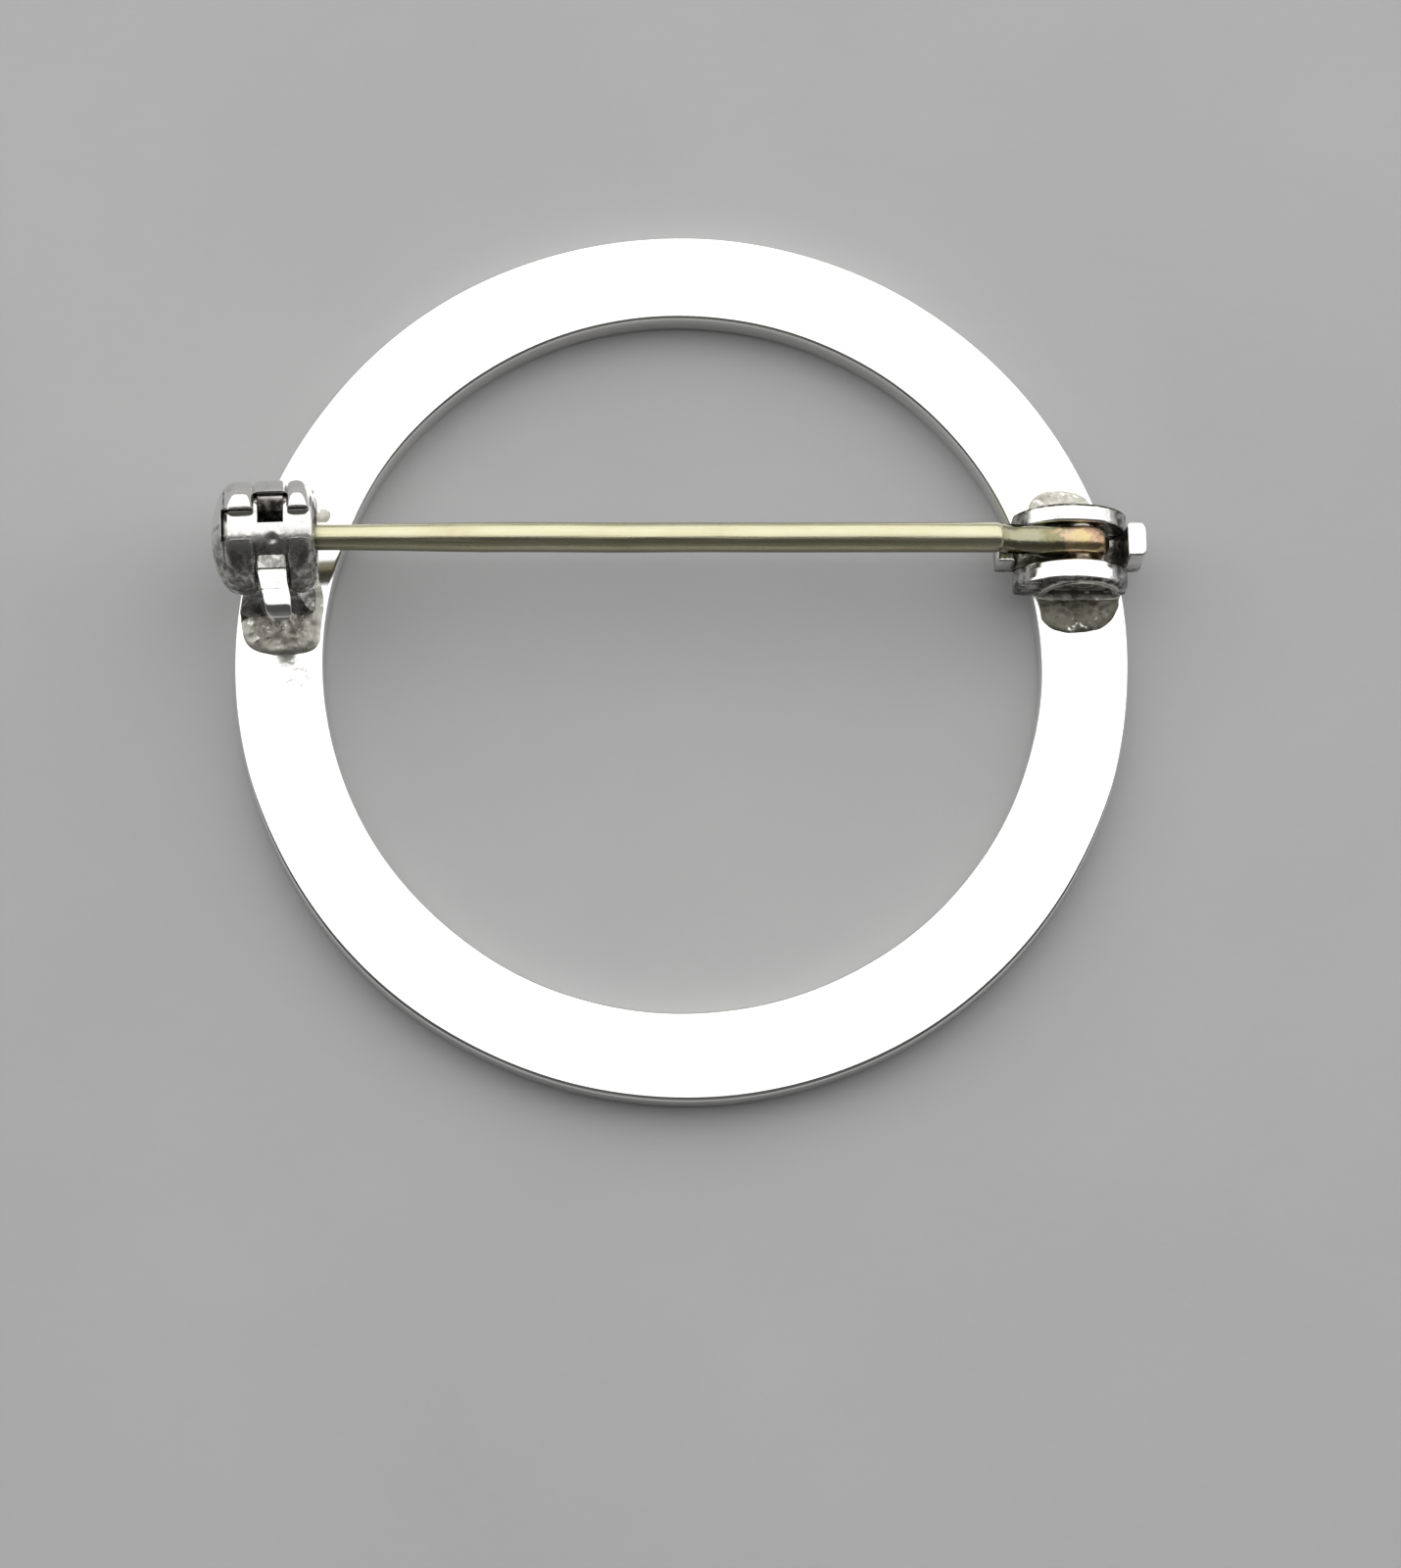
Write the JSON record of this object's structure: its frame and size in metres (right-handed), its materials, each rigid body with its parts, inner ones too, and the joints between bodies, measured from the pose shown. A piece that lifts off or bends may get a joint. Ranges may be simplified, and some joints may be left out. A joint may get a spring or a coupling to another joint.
{
  "type": "circle pin brooch",
  "caption": "Plain flat ring brooch with a hinged pin stem across its back and a rotating safety catch, resting on its front face.",
  "frame": {"origin": "centre of the ring on its flat front face, on which the brooch rests", "axes": "+Z out of the ring's back, +X along the pin from the catch to the hinge, +Y across the ring towards the side on which the pin crosses it"},
  "size_m": [0.0312, 0.03, 0.0052],
  "materials": {
    "silver": "polished silver with fine wear",
    "nickel": "bright nickel plate",
    "nickel_silver": "drawn nickel silver wire, slightly yellow"
  },
  "bodies": {
    "frame": {"ring_frame": "silver", "hinge_rivet": "nickel"},
    "pin": {"pin_stem": "nickel_silver"},
    "lever": {"catch_lever": "nickel"}
  },
  "joints": [
    {"name": "pin_swing", "type": "hinge", "parent": "frame", "child": "pin", "pos_m": [0.01334, 0.00372, 0.0024], "axis": [-0.0087, 1, 0], "range_deg": [0, 95]},
    {"name": "lever_turn", "type": "hinge", "parent": "frame", "child": "lever", "pos_m": [-0.01392, 0.00348, 0.0034], "axis": [0.999, 0.0436, 0], "range_deg": [-88, 0]}
  ]
}
